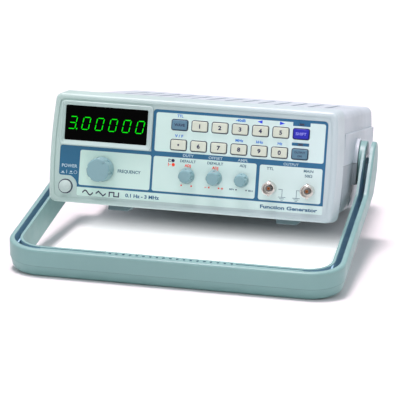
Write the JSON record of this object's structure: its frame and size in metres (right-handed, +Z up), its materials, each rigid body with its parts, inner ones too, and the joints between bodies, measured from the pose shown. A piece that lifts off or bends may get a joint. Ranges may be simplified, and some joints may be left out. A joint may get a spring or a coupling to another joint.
{
  "type": "function generator",
  "caption": "Bench function generator: low flat case leaning back on a folded-down carrying handle, with a numeric display, keypad, knobs and two coaxial sockets.",
  "frame": {"origin": "Middle of the footprint, on the surface that the instrument stands on.", "axes": "+Z up. -Y is the way the front panel faces and +X is to the right seen from the front, so the case runs back along +Y. The case leans back by 7.96 degrees about X, on its rear feet and its handle."},
  "size_m": [0.251, 0.3498, 0.1244],
  "materials": {
    "bezel": "fine texture",
    "overlay_film": "printed film, satin",
    "filter": "dark window",
    "cover_top": "fine texture",
    "cover_bottom": "fine texture",
    "rear_sheet": "powder coat",
    "foot_rubber": "matte",
    "bumper": "fine texture",
    "screw_steel": "zinc plated",
    "inlet_black": "moulded",
    "plug_pins": "nickel plated",
    "selector_red": "moulded",
    "circuit_board": "solder mask",
    "front_circuit": "solder mask",
    "digit_green": "lit segments",
    "switch_black": "moulded",
    "led_red": "diffused lens",
    "encoder_case": "plain",
    "pot_case": "moulded",
    "bnc_nickel": "nickel plated",
    "bnc_white": "fluoropolymer",
    "bnc_centre": "gold plated",
    "power_switch_body": "moulded",
    "transformer_iron": "varnished laminations",
    "heat_sink_aluminium": "black anodised",
    "component_black": "moulded",
    "push_rod": "moulded",
    "standoff_brass": "plain",
    "ribbon_grey": "flexible",
    "handle_teal": "fine texture",
    "hub_plastic": "fine texture",
    "pivot_steel": "turned",
    "knob_large": "satin",
    "knob_small": "satin",
    "shaft_metal": "turned",
    "carriage_white": "moulded",
    "button_pale": "moulded",
    "key_cream": "moulded",
    "key_slate": "moulded",
    "key_blue": "moulded"
  },
  "bodies": {
    "chassis": {"front_bezel": "bezel", "front_overlay": "overlay_film", "display_filter": "filter", "top_cover": "cover_top", "bottom_cover": "cover_bottom", "rear_panel": "rear_sheet", "bottom_feet": "foot_rubber", "rear_bumpers": "bumper", "m3_screws": "screw_steel", "power_inlet": "inlet_black", "inlet_pins": "plug_pins", "voltage_selector": "selector_red", "main_board": "circuit_board", "front_board": "front_circuit", "board_standoffs": "standoff_brass", "digit_modules": "digit_green", "key_switches": "switch_black", "status_leds": "led_red", "encoder_body": "encoder_case", "ampl_pot": "pot_case", "power_switch": "power_switch_body", "transformer": "transformer_iron", "heat_sink": "heat_sink_aluminium", "board_components": "component_black", "ribbon_cable": "ribbon_grey", "bnc_shells": "bnc_nickel", "bnc_insulators": "bnc_white", "bnc_contacts": "bnc_centre", "bnc_nuts": "screw_steel", "handle_pivots": "pivot_steel", "duty_pot": "pot_case", "offset_pot": "pot_case"},
    "handle": {"handle": "handle_teal", "handle_hubs": "hub_plastic"},
    "frequency_knob": {"frequency_knob": "knob_large", "frequency_shaft": "shaft_metal"},
    "duty_carriage": {"duty_carriage": "carriage_white"},
    "duty_knob": {"duty_knob": "knob_small", "duty_shaft": "shaft_metal"},
    "offset_carriage": {"offset_carriage": "carriage_white"},
    "offset_knob": {"offset_knob": "knob_small", "offset_shaft": "shaft_metal"},
    "ampl_knob": {"ampl_knob": "knob_small", "ampl_shaft": "shaft_metal"},
    "power_button": {"power_button": "button_pale", "power_push_rod": "push_rod"},
    "key_wave": {"key_wave": "key_slate"},
    "key_1": {"key_1": "key_cream"},
    "key_2": {"key_2": "key_cream"},
    "key_3": {"key_3": "key_cream"},
    "key_4": {"key_4": "key_cream"},
    "key_5": {"key_5": "key_cream"},
    "key_shift": {"key_shift": "key_blue"},
    "key_point": {"key_point": "key_cream"},
    "key_6": {"key_6": "key_cream"},
    "key_7": {"key_7": "key_cream"},
    "key_8": {"key_8": "key_cream"},
    "key_9": {"key_9": "key_cream"},
    "key_0": {"key_0": "key_cream"},
    "key_output": {"key_output": "key_slate"}
  },
  "joints": [
    {"name": "handle_pivot", "type": "hinge", "parent": "chassis", "child": "handle", "pos_m": [0, 0.02641, 0.06482], "axis": [-1, 0, 0], "range_deg": [0, 200]},
    {"name": "frequency_turn", "type": "hinge", "parent": "chassis", "child": "frequency_knob", "pos_m": [-0.0682, -0.10415, 0.06985], "axis": [0, -0.9904, 0.1385], "continuous": true},
    {"name": "duty_pull", "type": "slide", "parent": "chassis", "child": "duty_carriage", "axis": [0, -0.9904, 0.1385], "range_m": [0, 0.004]},
    {"name": "duty_turn", "type": "hinge", "parent": "duty_carriage", "child": "duty_knob", "pos_m": [-0.0029, -0.10415, 0.06985], "axis": [0, -0.9904, 0.1385], "range_deg": [-304, 0]},
    {"name": "offset_pull", "type": "slide", "parent": "chassis", "child": "offset_carriage", "axis": [0, -0.9904, 0.1385], "range_m": [0, 0.004]},
    {"name": "offset_turn", "type": "hinge", "parent": "offset_carriage", "child": "offset_knob", "pos_m": [0.018, -0.10415, 0.06985], "axis": [0, -0.9904, 0.1385], "range_deg": [0, 304]},
    {"name": "ampl_turn", "type": "hinge", "parent": "chassis", "child": "ampl_knob", "pos_m": [0.0388, -0.10415, 0.06985], "axis": [0, -0.9904, 0.1385], "range_deg": [0, 304]},
    {"name": "power_push", "type": "slide", "parent": "chassis", "child": "power_button", "axis": [0, -0.9904, 0.1385], "range_m": [0, 0.003]},
    {"name": "key_wave_press", "type": "slide", "parent": "chassis", "child": "key_wave", "axis": [0, 0.9904, -0.1385], "range_m": [0, 0.0008], "stiffness_N_per_m": 1500},
    {"name": "key_1_press", "type": "slide", "parent": "chassis", "child": "key_1", "axis": [0, 0.9904, -0.1385], "range_m": [0, 0.0008], "stiffness_N_per_m": 1500},
    {"name": "key_2_press", "type": "slide", "parent": "chassis", "child": "key_2", "axis": [0, 0.9904, -0.1385], "range_m": [0, 0.0008], "stiffness_N_per_m": 1500},
    {"name": "key_3_press", "type": "slide", "parent": "chassis", "child": "key_3", "axis": [0, 0.9904, -0.1385], "range_m": [0, 0.0008], "stiffness_N_per_m": 1500},
    {"name": "key_4_press", "type": "slide", "parent": "chassis", "child": "key_4", "axis": [0, 0.9904, -0.1385], "range_m": [0, 0.0008], "stiffness_N_per_m": 1500},
    {"name": "key_5_press", "type": "slide", "parent": "chassis", "child": "key_5", "axis": [0, 0.9904, -0.1385], "range_m": [0, 0.0008], "stiffness_N_per_m": 1500},
    {"name": "key_shift_press", "type": "slide", "parent": "chassis", "child": "key_shift", "axis": [0, 0.9904, -0.1385], "range_m": [0, 0.0008], "stiffness_N_per_m": 1500},
    {"name": "key_point_press", "type": "slide", "parent": "chassis", "child": "key_point", "axis": [0, 0.9904, -0.1385], "range_m": [0, 0.0008], "stiffness_N_per_m": 1500},
    {"name": "key_6_press", "type": "slide", "parent": "chassis", "child": "key_6", "axis": [0, 0.9904, -0.1385], "range_m": [0, 0.0008], "stiffness_N_per_m": 1500},
    {"name": "key_7_press", "type": "slide", "parent": "chassis", "child": "key_7", "axis": [0, 0.9904, -0.1385], "range_m": [0, 0.0008], "stiffness_N_per_m": 1500},
    {"name": "key_8_press", "type": "slide", "parent": "chassis", "child": "key_8", "axis": [0, 0.9904, -0.1385], "range_m": [0, 0.0008], "stiffness_N_per_m": 1500},
    {"name": "key_9_press", "type": "slide", "parent": "chassis", "child": "key_9", "axis": [0, 0.9904, -0.1385], "range_m": [0, 0.0008], "stiffness_N_per_m": 1500},
    {"name": "key_0_press", "type": "slide", "parent": "chassis", "child": "key_0", "axis": [0, 0.9904, -0.1385], "range_m": [0, 0.0008], "stiffness_N_per_m": 1500},
    {"name": "key_output_press", "type": "slide", "parent": "chassis", "child": "key_output", "axis": [0, 0.9904, -0.1385], "range_m": [0, 0.0008], "stiffness_N_per_m": 1500}
  ]
}
